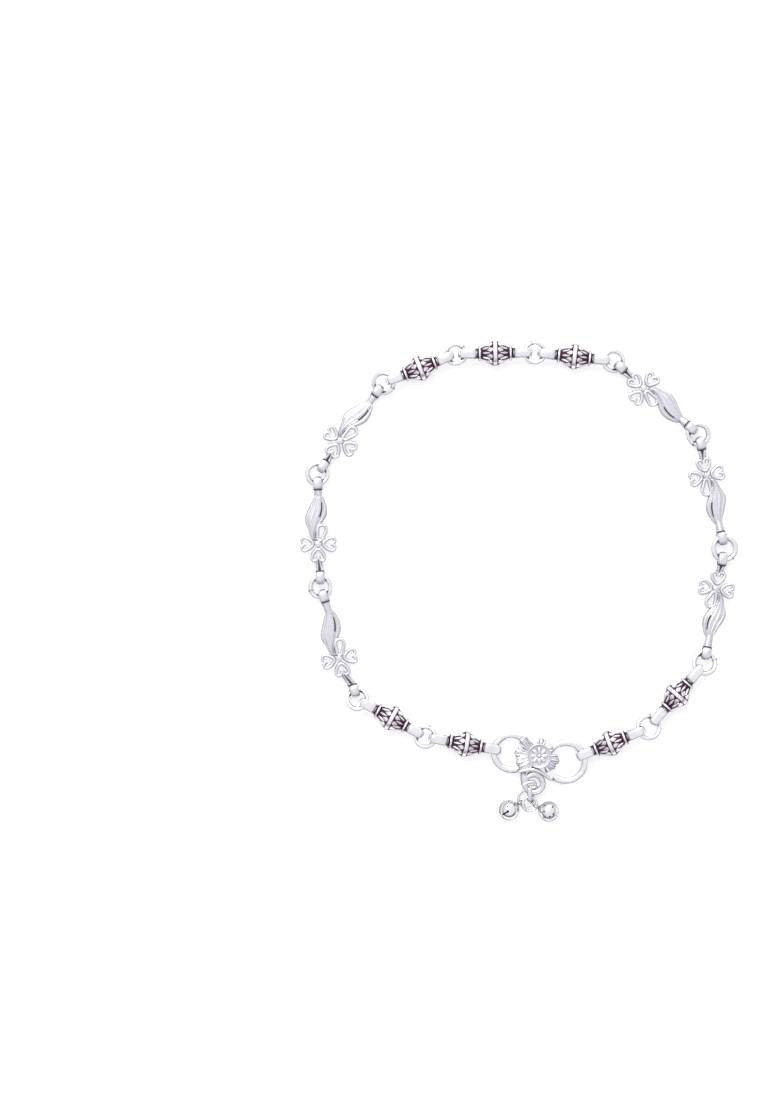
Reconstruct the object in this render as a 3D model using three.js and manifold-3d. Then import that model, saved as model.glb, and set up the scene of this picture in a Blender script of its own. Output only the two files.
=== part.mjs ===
// A payal, the silver anklet with small bells, laid flat in one closed loop.
// Millimetres, +Z up. +Y points away from the clasp, and the origin is under the middle of the anklet.
// Round the loop go beads and flower links, held to each other and to the clasp by jump rings.
import * as THREE from 'three';
import { mergeVertices } from 'three/addons/utils/BufferGeometryUtils.js';
import Module from 'manifold-3d';

const wasm = await Module();
wasm.setup();

// The loop, clockwise from the clasp: every ring's centre, outside diameter and wire
const leftLoop = { x: -1.8, y: -34.4, outside: 8.6, wire: 1.6 };
const jumpRings = [
  { x: -18.9, y: -31.3, outside: 5.0, wire: 1.0 },
  { x: -32.5, y: -23.8, outside: 5.0, wire: 1.0 },
  { x: -39.9, y: -1.4, outside: 5.2, wire: 1.1 },
  { x: -40.5, y: 21.2, outside: 5.2, wire: 1.1 },
  { x: -27.3, y: 39.3, outside: 5.1, wire: 1.0 },
  { x: -12.9, y: 45.1, outside: 4.9, wire: 1.0 },
  { x: 2.9, y: 45.4, outside: 5.0, wire: 1.0 },
  { x: 18.6, y: 43.7, outside: 5.0, wire: 1.0 },
  { x: 35.6, y: 29.1, outside: 5.2, wire: 1.1 },
  { x: 40.8, y: 6.3, outside: 5.7, wire: 1.2 },
  { x: 36.8, y: -16.6, outside: 5.4, wire: 1.1 },
  { x: 25.6, y: -29.4, outside: 5.4, wire: 1.0 },
];
const rightLoop = { x: 9.1, y: -36.3, outside: 9.2, wire: 1.6 };

// What hangs between each ring and the next. flowerAt is from the first ring to the flower's centre.
// swing turns flower and leaf round the leaf's end, in degrees, and moves the flower out of the loop
const links = [
  { kind: 'bead' },
  { kind: 'bead' },
  { kind: 'flower', flowerAt: 8.8, swing: 5.2 },
  { kind: 'flower', flowerAt: 8.6, swing: 1.2 },
  { kind: 'flower', flowerAt: 8.0, swing: 0.9 },
  { kind: 'bead' },
  { kind: 'bead' },
  { kind: 'bead' },
  { kind: 'flower', flowerAt: 8.2, swing: -0.9 },
  { kind: 'flower', flowerAt: 8.4, swing: -1.4 },
  { kind: 'flower', flowerAt: 8.2, swing: -1.4 },
  { kind: 'bead' },
  { kind: 'bead' },
];

// Eyes: the upright loops at a link's two ends, each round the wire of a ring
const eyeWidth = 1.8;
const eyeWall = 0.6;
const eyeHeight = 3.0;
const cornerGap = 0.08;   // from an eye's corners to the wire inside the ring
const endGap = 0.15;      // from the wire to the far end of the eye's hole
const restGap = 0.1;      // from the wire to the floor of the eye's hole

// Beads: two ribbed cones base to base, with a band round the middle and a collar at each end
const beadSides = 12;
const beadHalfLength = 3.5;
const bandRadius = 2.45;
const bandHalfWidth = 0.35;
const collarRadius = 1.4;
const beadNeck = { width: 1.9, height: 1.6 };

// Flower links: three heart petals and an oval one in wire, then a leaf
const petalReach = 3.8;
const petalHalfWidth = 1.75;
const petalWire = 0.72;
const flowerThickness = 1.1;
const petalStart = 0.65;   // from the flower's centre
const ovalPetal = { from: 0.5, to: 4.25, halfWidth: 1.25, turn: -15 };
const flowerNeck = { width: 1.1, height: 1.0 };
const leafNeck = { width: 1.5, height: 1.1 };
const leafRows = [
  // along is from the flower's centre, side is towards the outside of the loop
  { along: 0.7, side: 0.6, halfWidth: 0.4, thickness: 0.9 },
  { along: 1.9, side: 1.3, halfWidth: 0.6, thickness: 1.0 },
  { along: 3.2, side: 1.05, halfWidth: 0.95, thickness: 1.2 },
  { along: 4.3, side: 0.95, halfWidth: 1.8, thickness: 1.4 },
  { along: 5.2, side: 0.6, halfWidth: 2.2, thickness: 1.5 },
  { along: 6.2, side: 0.2, halfWidth: 2.15, thickness: 1.5 },
  { along: 7.4, side: -0.1, halfWidth: 1.8, thickness: 1.4 },
  { along: 8.7, side: -0.15, halfWidth: 1.25, thickness: 1.3 },
  { along: 9.7, side: -0.2, halfWidth: 0.7, thickness: 1.2 },
];

// Clasp: two wire loops soldered behind a stamped plate, which carries a scroll and its bail
const loopHeight = 1.62;
const plateCentre = { x: 3.4, y: -35.2 };
const plateDisc = 2.8;
const plateBottom = 2.15;
const plateThickness = 0.9;
const discRise = 0.35;
const plateLobes = [
  // direction in degrees from +X, reach from the disc's centre to the lobe's tip
  { direction: 131, reach: 5.2, halfWidth: 0.85 },
  { direction: 73, reach: 4.0, halfWidth: 0.85 },
  { direction: 33, reach: 3.9, halfWidth: 0.8 },
  { direction: -14, reach: 4.7, halfWidth: 1.2 },
  { direction: -60, reach: 5.0, halfWidth: 0.75 },
  { direction: -136, reach: 4.9, halfWidth: 1.0 },
  { direction: 178, reach: 4.6, halfWidth: 1.2 },
];
const hookGap = { direction: -140, width: 1.3 };   // where the right loop opens, behind the plate

// Scroll under the plate, and the upright bail at its foot that takes the two bell rings
const scroll = { x: 2.7, y: -40.6, radius: 2.35, bottom: 1.3, thickness: 1.0 };
const scrollTab = { x: 0.9, y: -39.2, width: 2.2, height: 2.8 };
const bail = { x: 1.9, top: -41.2, foot: -44.3, width: 0.9, low: 0.08, high: 2.5, wall: 0.42 };

// Two bell rings, one over the other, and a bell on each
const bellRings = [
  { x: 1.2, y: -43.6, z: 0.87, outside: 3.8, wire: 0.6 },
  { x: 1.9, y: -44.7, z: 1.75, outside: 3.4, wire: 0.6 },
];
const bells = [
  { x: -2.26, y: -45.9 },
  { x: 5.7, y: -46.2 },
];
const bellRadius = 2.05;
const bellWall = 0.35;
const bellSlot = 0.32;
const bellHole = 0.52;
const bellSlotAngle = 55;   // from the bell's pole to the hole at a slot's end
const bellEye = { hole: 0.42, outside: 0.72, width: 0.5 };

const silver = { color: 0xdcdbe2, roughness: 0.22, metalness: 1.0 };
const oxidised = { color: 0x6a5566, roughness: 0.5, metalness: 0.8 };

// three.js geometry to a solid, and back
function solidOf(geometry) {
  const bare = geometry.clone();
  bare.deleteAttribute('normal');
  bare.deleteAttribute('uv');
  const merged = mergeVertices(bare, 1e-4);
  const vertProperties = new Float32Array(merged.attributes.position.array);
  const triVerts = new Uint32Array(merged.index.array);
  return new wasm.Manifold(new wasm.Mesh({ numProp: 3, vertProperties, triVerts }));
}

function geometryOf(solid) {
  const mesh = solid.getMesh();
  const geometry = new THREE.BufferGeometry();
  geometry.setAttribute('position', new THREE.BufferAttribute(new Float32Array(mesh.vertProperties), 3));
  geometry.setIndex(new THREE.BufferAttribute(new Uint32Array(mesh.triVerts), 1));
  geometry.computeVertexNormals();
  return geometry;
}

function joined(geometries) {
  return geometries.map(solidOf).reduce((whole, next) => whole.add(next));
}

function cutBy(solid, geometries) {
  return geometries.map(solidOf).reduce((whole, next) => whole.subtract(next), solid);
}

function named(name, geometry, finish) {
  const mesh = new THREE.Mesh(geometry, new THREE.MeshStandardMaterial(finish));
  mesh.name = name;
  return mesh;
}

// A flat outline given thickness, standing on z = bottom
function slab(shape, bottom, thickness, curveSegments) {
  const geometry = new THREE.ExtrudeGeometry(shape, { depth: thickness, bevelEnabled: false, curveSegments });
  return geometry.translate(0, 0, bottom);
}

function roundedBox(path, left, right, low, high, corner) {
  path.moveTo(left + corner, low);
  path.lineTo(right - corner, low);
  path.absarc(right - corner, low + corner, corner, -Math.PI / 2, 0);
  path.absarc(right - corner, high - corner, corner, 0, Math.PI / 2);
  path.absarc(left + corner, high - corner, corner, Math.PI / 2, Math.PI);
  path.absarc(left + corner, low + corner, corner, Math.PI, Math.PI * 1.5);
  path.closePath();
  return path;
}

// An upright strap loop in the XZ plane, centred on Y
function strapLoop(left, right, low, high, wall, width, corner) {
  const shape = roundedBox(new THREE.Shape(), left, right, low, high, corner);
  const hole = roundedBox(new THREE.Path(), left + wall, right - wall, low + wall, high - wall, corner - wall / 2);
  shape.holes.push(hole);
  return slab(shape, -width / 2, width, 1).rotateX(Math.PI / 2);
}

// A bar from a point on the X axis to another point, which may be off it
function bar(from, to, { width, height }, toSide = 0) {
  const length = Math.hypot(to - from, toSide);
  const box = new THREE.BoxGeometry(length, width, height).translate(length / 2, 0, 0);
  return box.rotateZ(Math.atan2(toSide, to - from)).translate(from, 0, 0);
}

// How far an eye's tip stays from the centre of the ring that it holds
function tipGap(ring) {
  const inside = ring.outside / 2 - ring.wire - cornerGap;
  return Math.sqrt(inside ** 2 - (eyeWidth / 2) ** 2) - eyeWall;
}

function eyeLength(ring) {
  return ring.outside / 2 + endGap + eyeWall - tipGap(ring);
}

// The eye at one end of a link whose tip is reach from its middle. side is -1 at the start, 1 at the end
function eye(ring, reach, side) {
  const inner = side * (reach - eyeLength(ring));
  const tip = side * reach;
  const [left, right] = side > 0 ? [inner, tip] : [tip, inner];
  return strapLoop(left, right, -eyeHeight / 2, eyeHeight / 2, eyeWall, eyeWidth, 0.95);
}

function bead(start, end, reach) {
  // Half a profile as radius and distance from the middle. The faces' flats, not their corners, have these radii
  const half = [
    [bandRadius, bandHalfWidth],
    [bandRadius - 0.2, bandHalfWidth],
    [collarRadius - 0.15, beadHalfLength - 0.9],
    [collarRadius - 0.3, beadHalfLength - 0.75],
    [collarRadius, beadHalfLength - 0.65],
    [collarRadius, beadHalfLength - 0.25],
    [collarRadius - 0.25, beadHalfLength - 0.15],
    [collarRadius - 0.4, beadHalfLength],
    [0, beadHalfLength],
  ];
  const corner = 1 / Math.cos(Math.PI / beadSides);
  const right = half.map(([radius, along]) => new THREE.Vector2(radius * corner, along));
  const left = half.map(([radius, along]) => new THREE.Vector2(radius * corner, -along)).reverse();
  const body = new THREE.LatheGeometry([...left, ...right], beadSides);
  body.rotateY(Math.PI / beadSides).rotateZ(-Math.PI / 2);
  const startNeck = bar(eyeLength(start) - reach - eyeWall / 2, -beadHalfLength + 0.2, beadNeck);
  const endNeck = bar(beadHalfLength - 0.2, reach - eyeLength(end) + eyeWall / 2, beadNeck);
  return joined([body, startNeck, endNeck, eye(start, reach, -1), eye(end, reach, 1)]);
}

// A heart with its blunt point towards the flower's centre and its two lobes along +X
function heart(path, point, reach, halfWidth, notch) {
  const widest = reach - halfWidth * 0.68;
  const lobe = halfWidth * 0.48;
  path.moveTo(point, 0);
  path.bezierCurveTo(point, -halfWidth * 0.5, widest - 0.9, -halfWidth, widest, -halfWidth);
  path.bezierCurveTo(reach - halfWidth * 0.2, -halfWidth, reach, -halfWidth * 0.8, reach, -lobe);
  path.bezierCurveTo(reach, -lobe * 0.4, reach - notch * 0.6, -lobe * 0.1, reach - notch, 0);
  path.bezierCurveTo(reach - notch * 0.6, lobe * 0.1, reach, lobe * 0.4, reach, lobe);
  path.bezierCurveTo(reach, halfWidth * 0.8, reach - halfWidth * 0.2, halfWidth, widest, halfWidth);
  path.bezierCurveTo(widest - 0.9, halfWidth, point, halfWidth * 0.5, point, 0);
  return path;
}

function heartPetal(degrees) {
  const shape = heart(new THREE.Shape(), petalStart, petalReach, petalHalfWidth, 0.45);
  const inner = petalHalfWidth - petalWire;
  shape.holes.push(heart(new THREE.Path(), petalStart + petalWire, petalReach - petalWire, inner, 0.7));
  const petal = slab(shape, -flowerThickness / 2, flowerThickness, 2);
  return petal.rotateZ(THREE.MathUtils.degToRad(degrees));
}

function roundPetal({ from, to, halfWidth, turn }) {
  const middle = (from + to) / 2;
  const half = (to - from) / 2;
  const shape = new THREE.Shape().absellipse(middle, 0, half, halfWidth, 0, Math.PI * 2);
  const hole = new THREE.Path().absellipse(middle, 0, half - petalWire, halfWidth - petalWire, 0, Math.PI * 2);
  shape.holes.push(hole);
  const petal = slab(shape, -flowerThickness / 2, flowerThickness, 6);
  return petal.rotateZ(THREE.MathUtils.degToRad(turn));
}

// The leaf is a drum whose rings take their place and size from leafRows
function leaf() {
  const drum = new THREE.CylinderGeometry(1, 1, 1, 10, leafRows.length - 1);
  const point = drum.attributes.position;
  for (let i = 0; i < point.count; i += 1) {
    const row = leafRows[Math.round((point.getY(i) + 0.5) * (leafRows.length - 1))];
    const across = point.getX(i) * row.halfWidth;
    point.setXYZ(i, row.along, row.side - across, point.getZ(i) * row.thickness / 2);
  }
  return drum;
}

function flowerLink(start, end, reach, { flowerAt, swing }) {
  const centre = flowerAt - tipGap(start) - reach;
  const leafEnd = leafRows[leafRows.length - 1].along;
  const turn = THREE.MathUtils.degToRad(swing);
  const flower = [heartPetal(180), heartPetal(90), heartPetal(-90), roundPetal(ovalPetal), leaf()];
  flower.push(new THREE.CylinderGeometry(0.8, 0.8, flowerThickness, 8).rotateX(Math.PI / 2));
  flower.forEach((piece) => piece.translate(-leafEnd, 0, 0).rotateZ(-turn).translate(centre + leafEnd, 0, 0));
  // The neck ends inside the notch of the first heart
  const notch = leafEnd + petalReach - 0.7;
  const startNeck = bar(eyeLength(start) - reach - eyeWall / 2, centre + leafEnd - notch * Math.cos(turn),
    flowerNeck, notch * Math.sin(turn));
  const endNeck = bar(centre + leafEnd - 0.6, reach - eyeLength(end) + eyeWall / 2, leafNeck);
  return joined([...flower, startNeck, endNeck, eye(start, reach, -1), eye(end, reach, 1)]);
}

function ringGeometry(ring, around, section) {
  return new THREE.TorusGeometry((ring.outside - ring.wire) / 2, ring.wire / 2, section, around);
}

function clasp() {
  const left = ringGeometry(leftLoop, 22, 8).translate(leftLoop.x, leftLoop.y, loopHeight);
  const right = ringGeometry(rightLoop, 22, 8).translate(rightLoop.x, rightLoop.y, loopHeight);
  const gap = new THREE.BoxGeometry(rightLoop.wire * 2, hookGap.width, rightLoop.wire * 2);
  gap.translate((rightLoop.outside - rightLoop.wire) / 2, 0, 0);
  gap.rotateZ(THREE.MathUtils.degToRad(hookGap.direction)).translate(rightLoop.x, rightLoop.y, loopHeight);
  const hook = cutBy(solidOf(right), [gap]);

  const disc = new THREE.CylinderGeometry(plateDisc, plateDisc, plateThickness + discRise, 20);
  disc.rotateX(Math.PI / 2).translate(0, 0, plateBottom + (plateThickness + discRise) / 2);
  const lobes = plateLobes.map(({ direction, reach, halfWidth }) => {
    const shape = new THREE.Shape().absellipse(reach / 2, 0, reach / 2, halfWidth, 0, Math.PI * 2);
    const lobe = slab(shape, plateBottom, plateThickness, 6);
    return lobe.rotateZ(THREE.MathUtils.degToRad(direction));
  });
  const plate = [disc, ...lobes].map((piece) => piece.translate(plateCentre.x, plateCentre.y, 0));
  return joined([left, ...plate]).add(hook).add(scrollPlate());
}

function scrollPlate() {
  const face = new THREE.Shape().absarc(scroll.x, scroll.y, scroll.radius, 0, Math.PI * 2);
  face.holes.push(new THREE.Path().absellipse(scroll.x, scroll.y + 1.25, 1.1, 0.5, 0, Math.PI * 2));
  face.holes.push(new THREE.Path().absellipse(scroll.x - 0.3, scroll.y - 0.05, 0.7, 0.4, 0, Math.PI * 2));
  const disc = slab(face, scroll.bottom, scroll.thickness, 5);
  const tab = new THREE.BoxGeometry(scrollTab.width, scrollTab.height, scroll.thickness);
  tab.translate(scrollTab.x, scrollTab.y, scroll.bottom + scroll.thickness / 2);
  const loop = strapLoop(bail.foot, bail.top, bail.low, bail.high, bail.wall, bail.width, 0.6);
  loop.rotateZ(Math.PI / 2).translate(bail.x, 0, 0);
  return joined([disc, tab, loop]);
}

// A bell with its loop along +X and its crossed slots round the pole at -X
function bell(eyeAt) {
  const shell = new THREE.SphereGeometry(bellRadius, 16, 10).rotateZ(Math.PI / 2);
  const loop = new THREE.Shape().absarc(eyeAt, 0, bellEye.outside, 0, Math.PI * 2);
  loop.holes.push(new THREE.Path().absarc(eyeAt, 0, bellEye.hole, 0, Math.PI * 2));
  const ring = slab(loop, -bellEye.width / 2, bellEye.width, 4).rotateX(Math.PI / 2);
  const neckEnd = eyeAt - bellEye.hole - 0.05;
  const neck = bar(bellRadius - 0.2, neckEnd, { width: bellEye.width, height: 0.6 });
  const whole = joined(neckEnd > bellRadius ? [shell, ring, neck] : [shell, ring]);
  const hollow = new THREE.SphereGeometry(bellRadius - bellWall, 12, 8).rotateZ(Math.PI / 2);

  const angle = THREE.MathUtils.degToRad(bellSlotAngle);
  const slotDepth = bellRadius * (1 - Math.cos(angle));
  const slotLength = 2 * bellRadius * Math.sin(angle);
  const slots = [0, Math.PI / 2].map((turn) => {
    const slot = new THREE.BoxGeometry(slotDepth + 0.5, bellSlot, slotLength);
    return slot.translate(-bellRadius - 0.5 + (slotDepth + 0.5) / 2, 0, 0).rotateX(turn);
  });
  const holes = [0, 1, 2, 3].map((quarter) => {
    const hole = new THREE.CylinderGeometry(bellHole / 2, bellHole / 2, 1.2, 6).rotateZ(Math.PI / 2);
    hole.translate(-bellRadius, 0, 0).rotateY(angle).rotateX(quarter * Math.PI / 2);
    return hole;
  });
  return cutBy(whole, [hollow, ...slots, ...holes]);
}

// Turns a mesh so that its +X points along a direction and its +Y stays level
function aim(mesh, direction) {
  const along = direction.clone().normalize();
  const across = new THREE.Vector3(0, 0, 1).cross(along).normalize();
  const up = along.clone().cross(across);
  mesh.quaternion.setFromRotationMatrix(new THREE.Matrix4().makeBasis(along, across, up));
}

const anklet = new THREE.Group();
const beadAxis = bandRadius;
const flowerAxis = eyeHeight / 2;

// Each link lies midway between the rings at its two ends. A bead beside the clasp dips towards it
const anchors = [leftLoop, ...jumpRings, rightLoop];
const counts = { bead: 0, flower: 0 };
const laid = links.map((link, i) => {
  const [start, end] = [anchors[i], anchors[i + 1]];
  const span = new THREE.Vector3(end.x - start.x, end.y - start.y, 0);
  const reach = (span.length() - tipGap(start) - tipGap(end)) / 2;
  const direction = span.clone().normalize();
  const middle = new THREE.Vector3(start.x, start.y, 0).addScaledVector(direction, tipGap(start) + reach);

  const toWire = (ring) => Math.hypot(ring.x - middle.x, ring.y - middle.y) - (ring.outside - ring.wire) / 2;
  let slope = 0;
  if (start === leftLoop) slope = (beadAxis - loopHeight) / toWire(start);
  if (end === rightLoop) slope = (loopHeight - beadAxis) / toWire(end);
  direction.z = slope;
  // A dipped bead stands on the edge of its band
  const tip = Math.atan(Math.abs(slope));
  middle.z = flowerAxis;
  if (link.kind === 'bead') middle.z = bandRadius * Math.cos(tip) + bandHalfWidth * Math.sin(tip);

  counts[link.kind] += 1;
  const solid = link.kind === 'bead' ? bead(start, end, reach) : flowerLink(start, end, reach, link);
  const name = link.kind === 'bead' ? `bead_${counts.bead}` : `flower_link_${counts.flower}`;
  const mesh = named(name, geometryOf(solid), link.kind === 'bead' ? oxidised : silver);
  mesh.position.copy(middle);
  aim(mesh, direction);
  anklet.add(mesh);
  return { startEye: middle.z - slope * toWire(start), endEye: middle.z + slope * toWire(end) };
});

// Each jump ring rests on the floors of the two eyes that it joins, so it tips from one to the other
jumpRings.forEach((ring, i) => {
  const [before, here, after] = [anchors[i], anchors[i + 1], anchors[i + 2]];
  const radius = (ring.outside - ring.wire) / 2;
  const seat = ring.wire / 2 + restGap - (eyeHeight / 2 - eyeWall);
  const inEye = (other, eyeMiddle) => {
    const toEye = new THREE.Vector3(other.x - here.x, other.y - here.y, 0).setLength(radius);
    return new THREE.Vector3(here.x, here.y, eyeMiddle + seat).add(toEye);
  };
  const low = inEye(before, laid[i].endEye);
  const high = inEye(after, laid[i + 1].startEye);
  const along = high.clone().sub(low);
  const mesh = named(`jump_ring_${i + 1}`, ringGeometry(ring, 20, 6), silver);
  mesh.position.set(here.x, here.y, (low.z + high.z) / 2);
  aim(mesh, along);
  anklet.add(mesh);
});

anklet.add(named('clasp', geometryOf(clasp()), silver));

bellRings.forEach((ring, i) => {
  const mesh = named(`bell_ring_${i + 1}`, ringGeometry(ring, 14, 6), silver);
  mesh.position.set(ring.x, ring.y, ring.z);
  anklet.add(mesh);

  const centre = new THREE.Vector3(bells[i].x, bells[i].y, bellRadius);
  const toBell = new THREE.Vector3(centre.x - ring.x, centre.y - ring.y, 0);
  const onWire = new THREE.Vector3(ring.x, ring.y, ring.z).add(toBell.setLength((ring.outside - ring.wire) / 2));
  const toWire = onWire.sub(centre);
  const bellMesh = named(`bell_${i + 1}`, geometryOf(bell(toWire.length())), silver);
  bellMesh.position.copy(centre);
  aim(bellMesh, toWire);
  anklet.add(bellMesh);
});

// The origin is on the surface that the anklet lies on, under the middle of its outline
const outline = new THREE.Box3().setFromObject(anklet, true);
const middle = outline.getCenter(new THREE.Vector3());
anklet.position.set(-middle.x, -middle.y, -outline.min.z);

export default anklet;
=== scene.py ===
import math

import bpy
import numpy as np
from mathutils import Matrix, Vector


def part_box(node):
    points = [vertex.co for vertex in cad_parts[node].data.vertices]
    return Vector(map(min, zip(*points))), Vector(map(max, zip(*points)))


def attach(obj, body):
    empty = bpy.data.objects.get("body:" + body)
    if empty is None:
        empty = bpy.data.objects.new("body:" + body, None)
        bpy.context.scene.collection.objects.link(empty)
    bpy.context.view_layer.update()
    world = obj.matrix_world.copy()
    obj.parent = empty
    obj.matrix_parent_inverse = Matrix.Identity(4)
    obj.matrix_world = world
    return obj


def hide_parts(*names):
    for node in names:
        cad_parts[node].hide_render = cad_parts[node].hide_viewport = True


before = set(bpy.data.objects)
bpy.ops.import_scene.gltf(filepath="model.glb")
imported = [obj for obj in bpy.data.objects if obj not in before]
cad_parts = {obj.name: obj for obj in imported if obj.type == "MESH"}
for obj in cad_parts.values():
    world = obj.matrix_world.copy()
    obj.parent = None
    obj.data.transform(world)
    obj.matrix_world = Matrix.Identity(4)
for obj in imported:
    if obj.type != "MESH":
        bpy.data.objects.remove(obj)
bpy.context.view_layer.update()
mm = 0.001
up = Vector((0, 0, 1))
print("frame loaded:", len(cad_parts), "nodes")

# The camera looks straight down, with the anklet right of the middle, as it was laid
cameraSetup = {"lens": 150, "sensor": 36, "tallView": 0.2216, "aimX": -0.02576, "aimY": 0.00537}


def addCamera():
    data = bpy.data.cameras.new("camera")
    data.lens = cameraSetup["lens"]
    data.sensor_width = cameraSetup["sensor"]
    data.clip_start, data.clip_end = 0.01, 20
    camera = bpy.data.objects.new("camera", data)
    bpy.context.scene.collection.objects.link(camera)
    distance = cameraSetup["tallView"] / cameraSetup["sensor"] * cameraSetup["lens"]
    camera.location = (cameraSetup["aimX"], cameraSetup["aimY"], distance)
    bpy.context.scene.camera = camera


addCamera()


def only(*pieces):
    if bpy.context.mode != "OBJECT":
        bpy.ops.object.mode_set(mode="OBJECT")
    bpy.ops.object.select_all(action="DESELECT")
    for piece in pieces:
        piece.select_set(True)
    bpy.context.view_layer.objects.active = pieces[0] if pieces else None


def start(kind, **sizes):
    only()
    getattr(bpy.ops.mesh, f"primitive_{kind}_add")(**sizes)
    bpy.ops.object.transform_apply(location=True, rotation=True, scale=True)
    return bpy.context.object


def edit(piece, test=None):
    # opens a piece with everything selected, or only the points that pass the test
    only(piece)
    if test:
        bpy.ops.object.mode_set(mode="EDIT")
        bpy.ops.mesh.select_mode(type="VERT")
        bpy.ops.mesh.select_all(action="DESELECT")
        bpy.ops.object.mode_set(mode="OBJECT")
        for point in piece.data.vertices:
            point.select = test(point.co)
    bpy.ops.object.mode_set(mode="EDIT")
    if not test:
        bpy.ops.mesh.select_all(action="SELECT")


def done(piece):
    bpy.ops.object.mode_set(mode="OBJECT")
    return piece


def tidyMesh(piece):
    edit(piece)
    bpy.ops.mesh.remove_doubles(threshold=0.002)
    bpy.ops.mesh.normals_make_consistent(inside=False)
    return done(piece)


def apply(piece, kind, **settings):
    only(piece)
    modifier = piece.modifiers.new(kind.lower(), kind)
    for name, value in settings.items():
        setattr(modifier, name, value)
    bpy.ops.object.modifier_apply(modifier=modifier.name)
    return piece


def smooth(piece, levels):
    return apply(piece, "SUBSURF", levels=levels, render_levels=levels)


def copyOf(piece, matrix=None):
    twin = piece.copy()
    twin.data = piece.data.copy()
    bpy.context.scene.collection.objects.link(twin)
    if matrix is not None:
        twin.data.transform(matrix)
    return twin


def joinAll(pieces):
    only(*pieces)
    if len(pieces) > 1:
        bpy.ops.object.join()
    return bpy.context.view_layer.objects.active


def discard(*pieces):
    for piece in pieces:
        bpy.data.objects.remove(piece)


def tarnishAndShade(piece, rule):
    # the rule gives how black the silver is at a point: 0 is bright metal and 1 black, which is real oxide in
    # the beads' hollows, dark solder seams, and painted shade on the polished pieces
    layer = piece.data.attributes.get("tarnishAndShade") or piece.data.attributes.new("tarnishAndShade", "FLOAT", "POINT")
    for i, point in enumerate(piece.data.vertices):
        layer.data[i].value = min(1.0, max(0.0, rule(point.co)))
    return piece


flankShadeFrom = 0.15         # how steep a side is where the painted shade begins, from 0 level to 1 upright


def paintFlankShade(piece, amount):
    # painted shade: the steep sides are made greyer than the tops, standing in for the dark room they reflect
    layer = piece.data.attributes["tarnishAndShade"]
    for i, point in enumerate(piece.data.vertices):
        steep = max(0.0, 1 - abs(point.normal.z) - flankShadeFrom) / (1 - flankShadeFrom)
        layer.data[i].value = min(1.0, layer.data[i].value + amount * steep)


def turned(degrees, axis):
    return Matrix.Rotation(math.radians(degrees), 4, axis)


def moved(x, y, z=0.0):
    return Matrix.Translation((x, y, z))


def layWire(name, section, place, heading, legs, closed):
    # A wire laid along the XY plane from place: a leg is (length, 0) or (radius, degrees), left positive
    only()
    bpy.ops.mesh.primitive_circle_add(vertices=section["sides"], radius=0.5, rotation=(0, math.pi / 2, 0))
    wire = bpy.context.object
    wire.name = name
    bpy.ops.object.transform_apply(location=True, rotation=True, scale=True)
    if "full" in section:
        # pushes the section's corners out, so that it is flatter than a round one
        edit(wire, lambda p: min(abs(p.y), abs(p.z)) > 0.16)
        bpy.ops.transform.resize(value=(1, section["full"], section["full"]), center_override=(0, 0, 0))
        done(wire)
    angle = math.radians(heading)
    here = Vector((place[0], place[1], 0))
    wire.scale = (1, section["across"], section["tall"])
    wire.rotation_euler = (0, 0, angle)
    wire.location = here
    bpy.ops.object.transform_apply(location=True, rotation=True, scale=True)
    edit(wire)
    for size, degrees in legs:
        ahead = Vector((math.cos(angle), math.sin(angle), 0))
        if degrees == 0:
            bpy.ops.mesh.extrude_region_move(TRANSFORM_OT_translate={"value": ahead * size})
            here += ahead * size
            continue
        left = Vector((-ahead.y, ahead.x, 0)) * math.copysign(size, degrees)
        centre = here + left
        steps = max(2, round(abs(degrees) / section["bend"]))
        bpy.ops.mesh.spin(steps=steps, angle=-math.radians(degrees), center=centre, axis=(0, 0, 1))
        here = centre + Matrix.Rotation(math.radians(degrees), 3, "Z") @ -left
        angle += math.radians(degrees)
    bpy.ops.mesh.select_all(action="SELECT")
    if not closed:
        bpy.ops.mesh.fill_holes(sides=0)
    done(wire)
    return tidyMesh(wire)


def facing(centre, along):
    # the matrix that lays a piece at centre with its +X along the way given and its +Z upwards
    across = up.cross(along).normalized()
    return Matrix.Translation(centre) @ Matrix((along, across, along.cross(across))).transposed().to_4x4()


def roundedLoop(name, section, length, height, corner):
    # an upright closed loop in the XZ plane, as long and as high outside as given
    wall = section["across"]
    bend = corner - wall / 2
    across, rise = length - wall - 2 * bend, height - wall - 2 * bend
    legs = [(across, 0), (bend, 90), (rise, 0), (bend, 90), (across, 0), (bend, 90), (rise, 0), (bend, 90)]
    loop = layWire(name, section, (-across / 2, -height / 2 + wall / 2), 0, legs, True)
    loop.data.transform(turned(90, "X"))
    return loop


def loft(name, sides, rows):
    # a solid drawn out along X. A row is where it is, its middle across and up, and its half width and height
    first = rows[0]
    solid = start("circle", vertices=sides, radius=1, fill_type="NGON", rotation=(0, math.pi / 2, 0))
    solid.name = name
    edit(solid)
    bpy.ops.transform.resize(value=(1, first["half"], first["deep"]), center_override=(0, 0, 0))
    bpy.ops.transform.translate(value=(first["along"], first["side"], first["lift"]))
    for last, row in zip(rows, rows[1:]):
        step = [row[key] - last[key] for key in ("along", "side", "lift")]
        bpy.ops.mesh.extrude_region_move(TRANSFORM_OT_translate={"value": step})
        middle = (row["along"], row["side"], row["lift"])
        bpy.ops.transform.resize(value=(1, row["half"] / last["half"], row["deep"] / last["deep"]),
                                 center_override=middle)
    done(solid)
    return tidyMesh(solid)


def straightRows(rows, lift=0):
    # rows for loft down the middle of a piece, from (along, half width, half height)
    return [{"along": x, "side": 0, "lift": lift, "half": half, "deep": deep} for x, half, deep in rows]


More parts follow.
